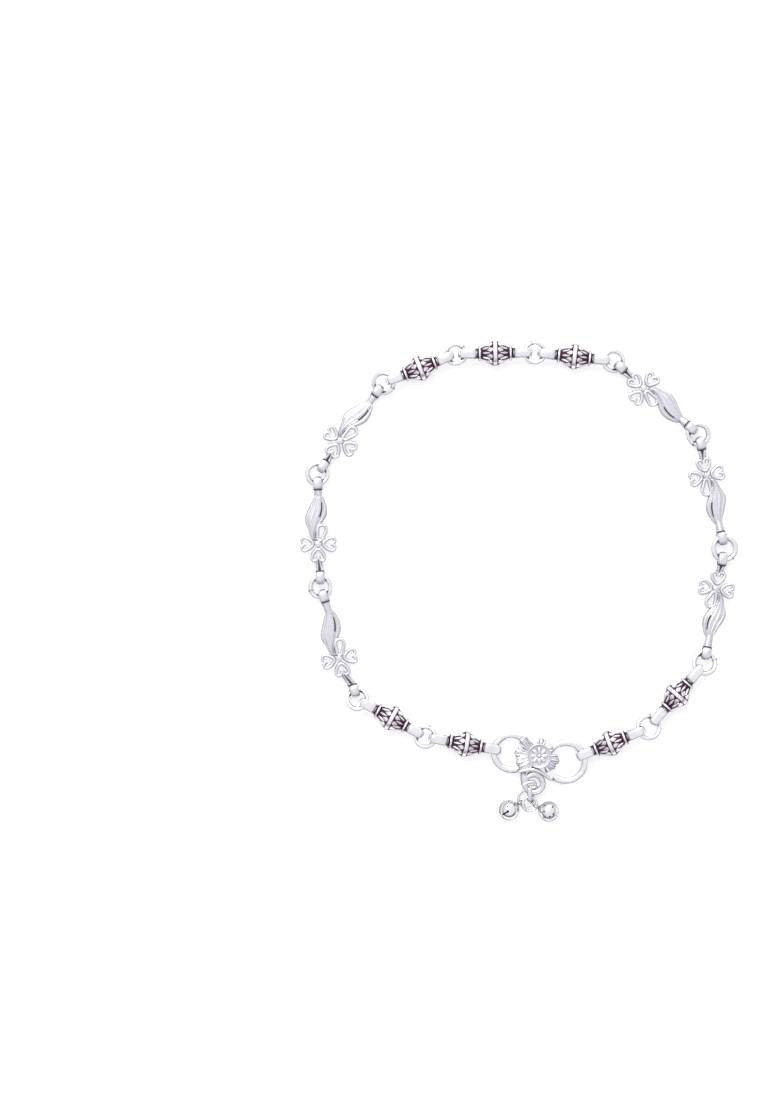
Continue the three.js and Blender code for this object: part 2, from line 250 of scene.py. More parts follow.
def layOut(piece, name, matrix, node, material):
    # takes a shaped piece to its place in the frame
    piece.name = name
    piece.data.transform(Matrix.Scale(mm, 4) @ matrix)
    # painted shade on the steep sides
    paintFlankShade(piece, silverLook[material.name.replace("Silver", "")]["flank"])
    piece.data.materials.clear()
    piece.data.materials.append(material)
    only(piece)
    bpy.ops.object.shade_smooth_by_angle(angle=math.radians(50))
    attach(piece, "root")
    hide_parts(node)
    return piece


class Shade:
    # a socket that can be added to, taken away and multiplied: each sum is a Math node
    def __init__(self, tree, socket=None):
        self.tree, self.socket = tree, socket

    def node(self, kind, settings=None, values=None, out=0):
        made = self.tree.nodes.new(kind)
        for name, value in (settings or {}).items():
            if name == "stops":
                for stop, (place, tone) in zip(made.color_ramp.elements, value):
                    stop.position, stop.color = place, (tone, tone, tone, 1)
            else:
                setattr(made, name, value)
        for name, value in (values or {}).items():
            if isinstance(value, Shade):
                self.tree.links.new(value.socket, made.inputs[name])
            else:
                made.inputs[name].default_value = value
        return Shade(self.tree, made.outputs[out])

    def maths(self, operation, first, second):
        return self.node("ShaderNodeMath", {"operation": operation}, {0: first, 1: second})

    def __add__(self, other):
        return self.maths("ADD", self, other)

    __radd__ = __add__

    def __mul__(self, other):
        return self.maths("MULTIPLY", self, other)

    __rmul__ = __mul__

    def __sub__(self, other):
        return self.maths("SUBTRACT", self, other)

    def __rsub__(self, other):
        return self.maths("SUBTRACT", other, self)


silverLook = {
    "wire": {"bright": (0.93, 0.925, 0.945), "dull": (0.66, 0.65, 0.70), "black": (0.045, 0.03, 0.05),
             "rough": 0.15, "spread": 0.10, "grain": 0.05, "flank": 0.46},
    "cast": {"bright": (0.79, 0.785, 0.82), "dull": (0.56, 0.55, 0.61), "black": (0.05, 0.03, 0.055),
             "rough": 0.24, "spread": 0.16, "grain": 0.12, "flank": 0.52},
    "bead": {"bright": (0.96, 0.93, 0.955), "dull": (0.78, 0.70, 0.76), "black": (0.042, 0.004, 0.034),
             "rough": 0.26, "spread": 0.18, "grain": 0.14, "flank": 0.6},
}
# what the three finishes share: how fine the clouding, the grain and the hairlines are, and what each does
silverGrain = {"cloud": 420.0, "grain": 5200.0, "hair": (900.0, 9000.0, 2500.0), "hairTurn": (0.4, 0.7, 0.5),
               "dulled": ((0.42, 0.0), (0.72, 1.0)), "dullShare": 0.35,
               "blackened": ((0.18, 0.0), (0.62, 1.0)), "cloudOnBlack": 0.35,
               "roughBlack": 0.3, "roughHair": 0.08, "blackMetal": 0.92, "hairHeight": 0.5, "bump": 0.00004}


def silver(name):
    look, shared = silverLook[name], silverGrain
    material = bpy.data.materials.new(name + "Silver")
    material.use_nodes = True
    tree = material.node_tree
    shader = tree.nodes["Principled BSDF"]
    shade = Shade(tree)
    place = shade.node("ShaderNodeTexCoord", out="Object")
    # this attribute carries real oxide and painted shade alike
    black = shade.node("ShaderNodeAttribute", {"attribute_name": "tarnishAndShade"}, out="Fac")
    cloud = shade.node("ShaderNodeTexNoise", {}, {"Vector": place, "Scale": shared["cloud"], "Detail": 3.0})
    grain = shade.node("ShaderNodeTexNoise", {}, {"Vector": place, "Scale": shared["grain"], "Detail": 2.0})
    drawn = {"Vector": place, "Rotation": shared["hairTurn"], "Scale": shared["hair"]}
    scratch = shade.node("ShaderNodeMapping", {}, drawn)
    hair = shade.node("ShaderNodeTexNoise", {}, {"Vector": scratch, "Scale": 1.0, "Detail": 1.0})

    def tone(factor, low, high):
        return shade.node("ShaderNodeMix", {"data_type": "RGBA"}, {0: factor, 6: low, 7: high}, out=2)

    dulled = shade.node("ShaderNodeValToRGB", {"stops": shared["dulled"]}, {"Fac": cloud})
    blackened = shade.node("ShaderNodeValToRGB", {"stops": shared["blackened"]},
                           {"Fac": black + (cloud - 0.5) * shared["cloudOnBlack"]})
    body = tone(dulled * shared["dullShare"], (*look["bright"], 1), (*look["dull"], 1))
    colour = tone(blackened, body, (*look["black"], 1))
    rough = look["rough"] + dulled * look["spread"] + blackened * shared["roughBlack"] \
        + (hair - 0.5) * shared["roughHair"]
    metal = 1.0 - blackened * shared["blackMetal"]
    relief = shade.node("ShaderNodeBump", {}, {"Strength": look["grain"], "Distance": shared["bump"],
                                               "Height": grain + hair * shared["hairHeight"]})
    varied = {"Base Color": colour, "Roughness": rough, "Metallic": metal, "Normal": relief}
    for socket, value in varied.items():
        tree.links.new(value.socket, shader.inputs[socket])
    return material


wireSilver = silver("wire")
castSilver = silver("cast")
beadSilver = silver("bead")
print("finishes made")


def points(node):
    return np.array([v.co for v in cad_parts[node].data.vertices]) / mm


def ringFacts(node):
    # centre, outside diameter, wire, and the matrix that lays a flat ring there
    cloud = points(node)
    centre = (cloud.min(0) + cloud.max(0)) / 2
    away = np.linalg.norm(cloud - centre, axis=1)
    flat = np.linalg.svd(cloud - centre)[2][2]
    normal = Vector(flat) if flat[2] > 0 else -Vector(flat)
    tilt = up.rotation_difference(normal).to_matrix().to_4x4()
    return {"centre": Vector(centre), "outside": 2 * away.max(), "wire": away.max() - away.min(),
            "matrix": Matrix.Translation(centre) @ tilt}


jumpRings = [ringFacts(f"jump_ring_{i}") for i in range(1, 13)]
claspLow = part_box("clasp")[0] / mm

# The clasp's places are measured from the left edge and the foot of its box
claspPlan = {"leftLoop": (4.3, 9.9, 8.6), "rightLoop": (15.2, 8.0, 9.2), "loopWire": 1.6, "loopHeight": 1.54,
             "plate": (9.5, 9.1), "plateBottom": 2.07, "scroll": (8.8, 3.7), "scrollBottom": 1.22}


def onClasp(place):
    return Vector((claspLow.x + place[0], claspLow.y + place[1], claspLow.z))


def claspLoop(name):
    x, y, outside = claspPlan[name]
    centre = onClasp((x, y)) + up * claspPlan["loopHeight"]
    return {"centre": centre, "outside": outside, "wire": claspPlan["loopWire"]}


anchors = [claspLoop("leftLoop"), *jumpRings, claspLoop("rightLoop")]
order = ["bead_1", "bead_2", "flower_link_1", "flower_link_2", "flower_link_3", "bead_3", "bead_4", "bead_5",
         "flower_link_4", "flower_link_5", "flower_link_6", "bead_6", "bead_7"]


def linkFacts(i):
    # the link's middle, its reach to each eye's tip, and how far each tip is from the middle of its ring
    node = order[i]
    before, after = anchors[i]["centre"], anchors[i + 1]["centre"]
    cloud = points(node)
    along = (after - before).to_2d().to_3d().normalized()
    centre = Vector(cloud.mean(0))
    if node.startswith("bead"):
        axis = Vector(np.linalg.svd(cloud - cloud.mean(0))[2][0])
        along = axis if axis.dot(along) > 0 else -axis
    else:
        centre = Vector((before.x, before.y, (cloud[:, 2].min() + cloud[:, 2].max()) / 2))
    reach = (cloud - np.array(centre)) @ np.array(along)
    low, high = reach.min(), reach.max()
    middle = centre + along * (low + high) / 2
    gaps = [(tip - ring).to_2d().length for tip, ring in
            ((centre + along * low, before), (centre + along * high, after))]
    return {"node": node, "reach": (high - low) / 2, "gaps": gaps, "rings": (anchors[i], anchors[i + 1]),
            "matrix": facing(middle, along)}


# Eyes are the upright loops at the ends of beads and links
eyeShape = {
    "width": 1.84, "wall": 0.62, "height": 3.0, "corner": 0.98, "endGap": 0.15, "collarGap": 0.02,
    "sides": 16, "bend": 15, "full": 1.04,
    # how far the tip and the back reach, and how far each is drawn in or spread
    "tip": (0.62, 0.86), "back": 1.02, "beadBack": 1.1, "linkBack": 1.0,
    # painted shade inside the loop, on the sides of the wire, and at the back
    "inside": 0.6, "insideMargin": 0.12, "insideFrom": 0.5, "side": 0.1, "sideFrom": 0.8,
    "root": 0.45, "rootLength": 0.36,
}


def eyeLength(ring, gap):
    return ring["outside"] / 2 + eyeShape["endGap"] + eyeShape["wall"] - gap


def makeEye(length, spread):
    # the tip is at the origin and the eye runs back along -X, drawn in at its tip and spread at its back
    section = {"across": eyeShape["wall"], "tall": eyeShape["width"], "full": eyeShape["full"],
               "sides": eyeShape["sides"], "bend": eyeShape["bend"]}
    eye = roundedLoop("eye", section, length, eyeShape["height"], eyeShape["corner"])
    eye.data.transform(moved(-length / 2, 0))
    tipLength, drawnIn = eyeShape["tip"]
    backFrom = eyeShape["back"] - length
    for test, wide in ((lambda p: p.x > -tipLength, drawnIn), (lambda p: p.x < backFrom, spread)):
        edit(eye, test)
        bpy.ops.transform.resize(value=(1, wide, 1), center_override=(0, 0, 0))
        done(eye)
    holeHalf = eyeShape["height"] / 2 - eyeShape["wall"] + eyeShape["insideMargin"]
    insideFrom, rootFrom = eyeShape["insideFrom"], eyeShape["rootLength"] - length

    # painted shade inside the loop, along the wire's sides, and at the back where the eye meets its neck
    def black(p):
        if abs(p.z) < holeHalf and insideFrom - length < p.x < -insideFrom:
            return eyeShape["inside"]
        return eyeShape["side"] * (abs(p.y) > eyeShape["sideFrom"]) + eyeShape["root"] * (p.x < rootFrom)

    return tarnishAndShade(eye, black)


def addEyes(link, neckFrom, makeNeck):
    made = []
    for side in (-1, 1):
        ring, gap = (link["rings"][0], link["gaps"][0]) if side < 0 else (link["rings"][1], link["gaps"][1])
        length = eyeLength(ring, gap)
        isBead = link["node"].startswith("bead")
        if isBead:                  # a bead's eye runs back to its collar
            length = link["reach"] - neckFrom[0] - eyeShape["collarGap"]
        face = turned(180, "Z") if side < 0 else Matrix.Identity(4)
        eye = makeEye(length, eyeShape["beadBack"] if isBead else eyeShape["linkBack"])
        eye.data.transform(face @ moved(link["reach"], 0))
        neck = makeNeck(side, neckFrom, link["reach"] - length + eyeShape["wall"] / 2)
        neck.data.transform(face)
        made += [eye, neck]
    return made


beadShape = {
    "sides": 40, "halfLength": 3.5, "spread": 1.05,
    # along from the end inwards, and radius
    "profile": ((0.0, 0.7), (0.0, 0.98), (0.1, 1.06), (0.17, 1.14), (0.21, 1.34), (0.28, 1.41), (0.56, 1.41),
                (0.63, 1.34), (0.67, 1.1), (0.86, 1.08), (0.94, 1.17), (1.3, 1.35), (1.8, 1.6), (2.3, 1.85),
                (2.8, 2.09), (3.06, 2.2), (3.09, 2.33), (3.15, 2.42), (3.24, 2.45)),
    "coneFrom": (-2.62, 1.12), "coneTo": (-0.42, 2.21), "ribs": 10, "ribHeight": 0.19,
    # share of the cone's length where it begins, its length and width, and how broad its far end is
    "narrow": (0.03, 0.74, 0.44, 0.25), "broad": (0.46, 0.53, 0.98, 1.0),
    # a rib's foot goes this deep, and its two upper steps are this long and wide
    "ribFoot": 0.12, "ribSteps": ((0.7, 0.95, 0.82), (0.3, 0.8, 0.5)), "ribFootBlack": 0.95,
    # the bright band, and the bright collars
    "bandFrom": 2.35, "collarFrom": 1.37, "collarAlong": 2.7,
    # the plug behind an eye, from the start of the neck, and from the eye's back wall
    "plug": ((-0.2, 0.85, 0.85), (0.03, 0.9, 0.88), (0.1, 1.02, 1.2)),
    "plugEnd": ((0.25, 0.98, 1.2), (0.45, 0.9, 1.1)),
    "plugBlack": 0.06, "plugTone": 0.4,
}


def makeRib(length, width, broadEnd, height):
    # a raised leaf lying along X from the origin, its broad end set by broadEnd from 0 to 1
    rib = start("circle", vertices=12, radius=0.5, fill_type="NGON")
    edit(rib)
    bpy.ops.transform.resize(value=(length, width, 1), center_override=(0, 0, 0))
    done(rib)
    for side, squeeze in ((1, 0.62 + 0.5 * broadEnd), (-1, 1.12 - 0.5 * broadEnd)):
        edit(rib, lambda p: p.x * side > length * 0.2)
        bpy.ops.transform.resize(value=(1, squeeze, 1), center_override=(0, 0, 0))
        done(rib)
    edit(rib)
    foot = beadShape["ribFoot"]
    bpy.ops.transform.translate(value=(0, 0, -foot))
    for share, long, wide in beadShape["ribSteps"]:
        bpy.ops.mesh.extrude_region_move(TRANSFORM_OT_translate={"value": (0, 0, foot + height * share)})
        bpy.ops.transform.resize(value=(long, wide, 1), center_override=(0, 0, 0))
        foot = 0
    done(rib)
    tarnishAndShade(rib, lambda p: beadShape["ribFootBlack"] if p.z < 0 else 0.0)
    rib.data.transform(moved(length / 2, 0))
    return tidyMesh(rib)


def makeBeadBody():
    sides, half = beadShape["sides"], beadShape["halfLength"]
    rows = [{"along": inward - half, "side": 0, "lift": 0, "half": radius, "deep": radius}
            for inward, radius in beadShape["profile"]]
    rows += [dict(row, along=-row["along"]) for row in reversed(rows)]
    body = loft("beadBody", sides, rows)

    def ground(p):
        along, radius = abs(p.x), math.hypot(p.y, p.z)
        onBand = radius > beadShape["bandFrom"]
        onCollar = radius > beadShape["collarFrom"] and along > beadShape["collarAlong"]
        return 0.0 if onBand or onCollar else 1.0

    tarnishAndShade(body, ground)
    (fromX, fromRadius), (toX, toRadius) = beadShape["coneFrom"], beadShape["coneTo"]
    slope = math.degrees(math.atan2(toRadius - fromRadius, toX - fromX))
    slant = math.hypot(toX - fromX, toRadius - fromRadius)
    cone = Matrix.Translation((fromX, 0, fromRadius)) @ turned(-slope, "Y")
    ribs = []
    for kind, shift in (("narrow", 0.0), ("broad", 0.5)):
        begin, share, width, broadEnd = beadShape[kind]
        rib = makeRib(slant * share, width, broadEnd, beadShape["ribHeight"])
        for i in range(beadShape["ribs"]):
            place = turned(360 * (i + shift) / beadShape["ribs"], "X") @ cone @ moved(slant * begin, 0)
            ribs.append(copyOf(rib, place))
            ribs.append(copyOf(rib, turned(180, "Z") @ place))
        discard(rib)
    bead = joinAll([body, *ribs])
    edit(bead)
    bpy.ops.transform.resize(value=(1, beadShape["spread"], 1), center_override=(0, 0, 0))
    return done(bead)


def beadNeck(side, neckFrom, end):
    # a plug from the collar's groove that closes the back of the eye
    begin = neckFrom[0]
    rows = [(begin + x, half, deep) for x, half, deep in beadShape["plug"]]
    rows += [(end + x, half, deep) for x, half, deep in beadShape["plugEnd"]]
    neck = loft("neck", 24, straightRows(rows))
    return tarnishAndShade(neck, lambda p: 1.0 if p.x < begin + beadShape["plugBlack"] else beadShape["plugTone"])


beadBody = makeBeadBody()
print("bead modelled:", len(beadBody.data.polygons), "faces")


flowerShape = {
    "wire": {"across": 0.74, "tall": 1.0, "sides": 12, "bend": 14, "full": 1.1}, "petalFrom": 1.02,
    # the half heart from its blunt point round to its notch: radius or length, and turn
    "petal": ((0.62, -40), (2.8, -35), (0.60, -180), (0.40, 0)), "petalReach": 3.7, "notch": 0.75,
    "mirrorOverlap": 0.1, "ovalSmall": (1.15, 0.45), "ovalLarge": (3.0, 0.9), "ovalTurn": -15,
    "middle": 0.78, "middleHeight": 0.9, "middleBevel": 0.14,
    # painted shade round the middle, and low on the wires
    "round": (0.5, 0.85, 0.2), "low": (-0.1, 0.12),
}

# where the flower's centre is from its first ring, and how far the casting swings out of line
linkPlan = {"flower_link_1": (8.8, 5.2), "flower_link_2": (8.6, 1.2), "flower_link_3": (8.0, 0.9),
            "flower_link_4": (8.2, -0.9), "flower_link_5": (8.4, -1.4), "flower_link_6": (8.2, -1.4)}

leafShape = {
    "rows": [
        {"along": 0.6, "side": 0.55, "half": 0.3, "deep": 0.34},
        {"along": 1.3, "side": 1.05, "half": 0.5, "deep": 0.4},
        {"along": 2.2, "side": 1.22, "half": 0.68, "deep": 0.44},
        {"along": 3.2, "side": 1.08, "half": 1.0, "deep": 0.48},
        {"along": 4.2, "side": 0.95, "half": 1.7, "deep": 0.5},
        {"along": 5.2, "side": 0.62, "half": 2.14, "deep": 0.52},
        {"along": 6.2, "side": 0.26, "half": 2.12, "deep": 0.52},
        {"along": 7.4, "side": -0.05, "half": 1.8, "deep": 0.52},
        {"along": 8.6, "side": -0.12, "half": 1.32, "deep": 0.5},
        {"along": 9.4, "side": -0.16, "half": 0.92, "deep": 0.48},
        {"along": 9.8, "side": -0.1, "half": 0.72, "deep": 0.45},
    ],
    # each strand: its place across from -1 to 1, its share of the width, and how high it stands
    "strands": ((-0.74, 0.24, 0.16), (-0.42, 0.12, 0.30), (-0.12, 0.27, 0.22), (0.34, 0.3, 0.22),
                (0.78, 0.22, 0.12)),
    "inset": 0.97, "thinnest": 0.1, "slitStrand": 1, "slit": (5.4, 8.0),
    # painted shade on the leaf's upper and lower face, and on a strand below its top
    "upper": 0.25, "lower": 0.15, "strandLow": (0.4, 0.12),
}


def makeHeart():
    # half a heart in wire, its blunt point towards the flower's middle, mirrored over its own length
    wire = flowerShape["wire"]
    early = flowerShape["mirrorOverlap"]    # the wire starts across the middle line, and the mirror trims it
    legs = [(early, 0), *flowerShape["petal"]]
    heart = layWire("heart", wire, (flowerShape["petalFrom"], -early), 90, legs, False)
    apply(heart, "MIRROR", use_axis=(False, True, False), use_bisect_axis=(False, True, False),
          use_mirror_merge=True, merge_threshold=0.004)
    return tidyMesh(heart)


def makeOval():
    (nearAt, small), (farAt, large) = flowerShape["ovalSmall"], flowerShape["ovalLarge"]
    lean = math.degrees(math.asin((large - small) / (farAt - nearAt)))
    side = math.sqrt((farAt - nearAt) ** 2 - (large - small) ** 2)
    legs = [(large, 90 + lean), (side, 0), (small, 180 - 2 * lean), (side, 0), (large, 90 + lean)]
    oval = layWire("oval", flowerShape["wire"], (farAt + large, 0), 90, legs, True)
    oval.data.transform(turned(flowerShape["ovalTurn"], "Z"))
    return oval


def makeLeaf():
    # a flat leaf with long strands that run the whole way over it, one of them slit; the slit is painted
    # black as shade, not cut
    leafRows = leafShape["rows"]
    base = loft("leaf", 24, [dict(row, lift=0) for row in leafRows])
    smooth(base, 1)
    # painted shade on the leaf's faces between and under the strands
    tarnishAndShade(base, lambda p: leafShape["upper"] if p.z > 0 else leafShape["lower"])
    slitFrom, slitTo = leafShape["slit"]
    lowBelow, lowTone = leafShape["strandLow"]
    strands = []
    for number, (place, share, height) in enumerate(leafShape["strands"]):
        rows = [{"along": row["along"], "side": row["side"] + place * row["half"] * leafShape["inset"],
                 "lift": height * 0.6, "half": max(leafShape["thinnest"], share * row["half"]),
                 "deep": row["deep"] * 0.75 + height * 0.2} for row in leafRows]
        strand = smooth(loft("strand", 10, rows), 1)
        isSlit = number == leafShape["slitStrand"]
        # painted shade: black along the slit, and darker low on the strands
        tarnishAndShade(strand, lambda p: 1.0 if isSlit and slitFrom < p.x < slitTo else lowTone * (p.z < lowBelow))
        strands.append(strand)
    return [base, *strands]


def makeFlower():
    heart = makeHeart()
    petals = [copyOf(heart, turned(degrees, "Z")) for degrees in (180, 90, -90)]
    discard(heart)
    middle = start("cylinder", vertices=4, radius=flowerShape["middle"], depth=flowerShape["middleHeight"])
    apply(middle, "BEVEL", width=flowerShape["middleBevel"], segments=3)
    roundFrom, roundTo, roundTone = flowerShape["round"]
    lowFrom, lowTone = flowerShape["low"]

    # painted shade in the crease round the middle and under the wires
    def black(p):
        if roundFrom < math.hypot(p.x, p.y) < roundTo and p.z > 0:
            return roundTone
        return lowTone * (p.z < lowFrom)

    flower = [tarnishAndShade(piece, black) for piece in (*petals, makeOval(), middle)]
    return joinAll([*flower, *makeLeaf()])


neckShape = {
    # where the leaf runs into its eye: half width and half height, from inside the leaf to the eye
    "leafFrom": (-0.5, 0.66, 0.5), "leafOut": (0.1, 0.74, 0.58), "half": (0.8, 0.66), "eye": (0.86, 0.72),
    "leafTone": 0.1,
    # the two wires between a flower and its eye
    "wire": {"across": 0.62, "tall": 1.0, "sides": 12, "bend": 20, "full": 1.1}, "wireAtEye": 0.52,
    # rootTone, webTone, wireTone and leafTone are painted shade: dark at the heart's notch, on the web
    # between the two wires, and faintly on the wires and the leaf's neck
    "wireAtNotch": 0.18, "root": 0.5, "rootTone": 0.35, "wireTone": 0.1,
    "web": (0.9, 0.5), "webTone": 0.45,
}


def leafNeck(neckFrom, end):
    begin = neckFrom[1]
    inLeaf = (neckShape["leafFrom"], neckShape["leafOut"])
    rows = [(begin + along, half, deep) for along, half, deep in inLeaf]
    rows += [((begin + end) / 2, *neckShape["half"]), (end, *neckShape["eye"])]
    return tarnishAndShade(loft("neck", 16, straightRows(rows)), lambda p: neckShape["leafTone"])


def flowerNeck(side, neckFrom, end):
    if side > 0:
        return leafNeck(neckFrom, end)
    # two wires close up from the eye to the notch of the heart
    notchX, notchY = -neckFrom[0].x, -neckFrom[0].y
    rootEnd = notchX + neckShape["root"]
    legs = []
    for lean in (-1, 1):
        fromY, toY = lean * neckShape["wireAtEye"], notchY + lean * neckShape["wireAtNotch"]
        heading = math.atan2(fromY - toY, end - notchX)
        length = math.hypot(fromY - toY, end - notchX)
        leg = layWire("leg", neckShape["wire"], (notchX, toY), math.degrees(heading), [(length, 0)], False)
        tarnishAndShade(leg, lambda p: neckShape["rootTone"] if p.x < rootEnd else neckShape["wireTone"])
        legs.append(leg)
    # a dark web between the two wires, painted as the shade in the gap between them
    webWide, webTall = neckShape["web"]
    web = start("cube", size=1, scale=(end - notchX, webWide, webTall))
    web.data.transform(moved((end + notchX) / 2, notchY / 2))
    tarnishAndShade(web, lambda p: neckShape["webTone"])
    return joinAll([*legs, web])


flowerAndLeaf = makeFlower()
print("flower and leaf modelled:", len(flowerAndLeaf.data.polygons), "faces")


def layLinks():
    for i in range(len(order)):
        link = linkFacts(i)
        if link["node"].startswith("bead"):
            half = beadShape["halfLength"]
            eyes = joinAll(addEyes(link, (half, half), beadNeck))
            layOut(eyes, link["node"].replace("bead", "beadEyes"), link["matrix"], link["node"], wireSilver)
            pieces = [copyOf(beadBody)]
            name, material = link["node"].replace("bead", "oxidisedBead"), beadSilver
        else:
            flowerAt, swing = linkPlan[link["node"]]
            centre = flowerAt - link["gaps"][0] - link["reach"]
            leafEnd = leafShape["rows"][-1]["along"]
            swung = moved(centre + leafEnd, 0) @ turned(-swing, "Z") @ moved(-leafEnd, 0)
            notch = Vector((flowerShape["notch"] - flowerShape["petalReach"], 0, 0))
            ends = (swung @ notch, centre + leafEnd)
            pieces = [copyOf(flowerAndLeaf, swung), *addEyes(link, ends, flowerNeck)]
            name, material = link["node"].replace("flower_link", "flowerAndLeaf"), castSilver
        layOut(joinAll(pieces), name, link["matrix"], link["node"], material)
    discard(beadBody, flowerAndLeaf)
    print("links laid:", len(order))


layLinks()


# Jump rings and bell rings; the soldered seams point different ways
ringShape = {"sides": 16, "bend": 7.5, "seamTurn": 67, "bellSeamTurn": 120, "seamWaist": 0.9, "seamTone": 0.5}


def layRing(name, node, facts, turn):
    section = {"across": facts["wire"], "tall": facts["wire"], "sides": ringShape["sides"],
               "bend": ringShape["bend"]}
    radius = (facts["outside"] - facts["wire"]) / 2
    ring = layWire(name, section, (radius, 0), 90, [(radius, 360)], True)
    # the soldered seam is a slight waist
    step = radius * math.radians(ringShape["bend"]) * 0.6
    waist = ringShape["seamWaist"]
    edit(ring, lambda p: p.x > 0 and abs(p.y) < step)
    bpy.ops.transform.resize(value=(waist, 1, waist), center_override=(radius, 0, 0))
    done(ring)
    tarnishAndShade(ring, lambda p: ringShape["seamTone"] if p.x > 0 and abs(p.y) < step else 0.0)
    layOut(ring, name, facts["matrix"] @ turned(turn, "Z"), node, wireSilver)


for number, facts in enumerate(jumpRings, 1):
    layRing(f"jumpRing_{number}", f"jump_ring_{number}", facts, ringShape["seamTurn"] * number)
bellRings = [ringFacts(f"bell_ring_{i}") for i in (1, 2)]
for number, facts in enumerate(bellRings, 1):
    layRing(f"bellRing_{number}", f"bell_ring_{number}", facts,
            ringShape["bellSeamTurn"] * number)
print("rings laid:", len(jumpRings) + len(bellRings))


claspShape = {
    "hookFrom": -140, "hookGap": 20, "hookRound": 0.2, "loopSides": 20, "loopBend": 6,
    "discRadius": 2.45, "discAt": (0.35, 0.12), "discRound": 0.08, "thickness": 0.9, "rise": 0.35,
    "rim": 0.26, "rimSlope": 0.1, "sunk": 0.14,
    # direction, reach from the disc's middle, half width, strands
    "lobes": ((131, 5.2, 1.1, 4), (75, 4.0, 0.75, 2), (35, 3.9, 0.8, 2), (-12, 4.6, 1.15, 3),
              (-34, 4.4, 0.6, 2), (170, 4.8, 1.25, 4), (198, 4.6, 1.15, 3), (-137, 4.9, 1.15, 2)),
    "strandHeight": 0.36, "strandHalf": 0.34, "strandLift": 0.1, "tongueLift": -0.08,
    # the folded edge over the scroll: along, side and half width from the disc's middle
    "fold": ((-4.0, -3.0, 0.2), (-3.4, -2.95, 0.42), (-2.2, -2.7, 0.5), (-1.0, -2.5, 0.5), (0.1, -2.75, 0.5),
             (1.1, -3.4, 0.48), (2.0, -4.15, 0.42), (2.8, -4.65, 0.32), (3.3, -4.95, 0.1)),
    "foldLift": 0.05, "foldDeep": 0.42,
    # painted shade low on each: the sunk ground of the disc, the rest of the disc, petals, lobes and fold
    "groundTone": 0.26, "groundReach": 2.1, "discTone": 0.02, "petalTone": 0.24, "lobeTone": 0.26,
    "lobeLow": 0.22, "foldTone": 0.35,
}
# the rosette on the disc; a petal's rows are along, half width and half height
rosetteShape = {
    "petals": 8, "eye": 0.4, "petalTop": 0.08,
    "petal": ((0.3, 0.14, 0.12), (0.7, 0.36, 0.2), (1.2, 0.5, 0.24), (1.6, 0.38, 0.2), (1.84, 0.1, 0.1)),
}


def layLoops():
    wire = {"across": claspPlan["loopWire"], "tall": claspPlan["loopWire"], "sides": claspShape["loopSides"],
            "bend": claspShape["loopBend"]}
    whole = claspLoop("leftLoop")
    radius = (whole["outside"] - whole["wire"]) / 2
    left = layWire("leftLoop", wire, (radius, 0), 90, [(radius, 360)], True)
    left.data.transform(Matrix.Translation(whole["centre"]))
    hooked = claspLoop("rightLoop")
    radius = (hooked["outside"] - hooked["wire"]) / 2
    begin = claspShape["hookFrom"] + claspShape["hookGap"] / 2
    x, y = radius * math.cos(math.radians(begin)), radius * math.sin(math.radians(begin))
    right = layWire("rightLoop", wire, (x, y), begin + 90, [(radius, 360 - claspShape["hookGap"])], False)
    apply(right, "BEVEL", width=claspShape["hookRound"], segments=3, limit_method="ANGLE",
          angle_limit=math.radians(60))
    right.data.transform(Matrix.Translation(hooked["centre"]))
    loops = joinAll([left, right])
    tarnishAndShade(loops, lambda p: 0.0)
    layOut(loops, "claspLoops", Matrix.Identity(4), "clasp", wireSilver)


def makeStrand(length, half, height):
    # one ridge of a stamped lobe, from the middle of the disc outwards along X
    rows = [(0.3, 0.5, 0.6), (length * 0.45, 0.95, 0.95), (length * 0.75, 1.0, 1.0),
            (length * 0.93, 0.62, 0.7), (length, 0.15, 0.3)]
    rows = [(x, half * wide, height * tall) for x, wide, tall in rows]
    return smooth(loft("strand", 10, straightRows(rows)), 1)


def makeLobe(direction, reach, half, strands):
    # a flat tongue with raised strands that fan out over it
    rows = [(0.2, 0.5, 0.3), (reach * 0.35, half * 0.95, 0.34), (reach * 0.62, half, 0.34),
            (reach * 0.85, half * 0.8, 0.3), (reach * 0.97, half * 0.35, 0.22)]
    fan = [smooth(loft("tongue", 14, straightRows(rows, claspShape["tongueLift"])), 1)]
    strandHalf = min(claspShape["strandHalf"], half / strands * 0.92)
    for i in range(strands):
        share = (i - (strands - 1) / 2) / max(1, strands - 1)
        strand = makeStrand(reach * (1 - 0.16 * abs(share)), strandHalf, claspShape["strandHeight"])
        spread = math.degrees(math.atan2(share * half * 1.5, reach * 0.7))
        strand.data.transform(moved(0, 0, claspShape["strandLift"]) @ turned(spread, "Z"))
        fan.append(strand)
    lobe = joinAll(fan)
    lobe.data.transform(turned(direction, "Z"))
    return lobe


def makeRosette(ground):
    petal = smooth(loft("petal", 12, straightRows(rosetteShape["petal"], ground)), 1)
    count = rosetteShape["petals"]
    rosette = [copyOf(petal, turned(360 * i / count, "Z")) for i in range(count)]
    discard(petal)
    eye = start("uv_sphere", segments=20, ring_count=12, radius=rosetteShape["eye"], location=(0, 0, ground))
    return joinAll([eye, *rosette])


def makeFold():
    lift, deep = claspShape["foldLift"], claspShape["foldDeep"]
    rows = [{"along": x, "side": y, "lift": lift, "half": half, "deep": deep}
            for x, y, half in claspShape["fold"]]
    fold = smooth(loft("fold", 14, rows), 1)
    # painted shade under the fold
    return tarnishAndShade(fold, lambda p: 0.0 if p.z > 0.0 else claspShape["foldTone"])


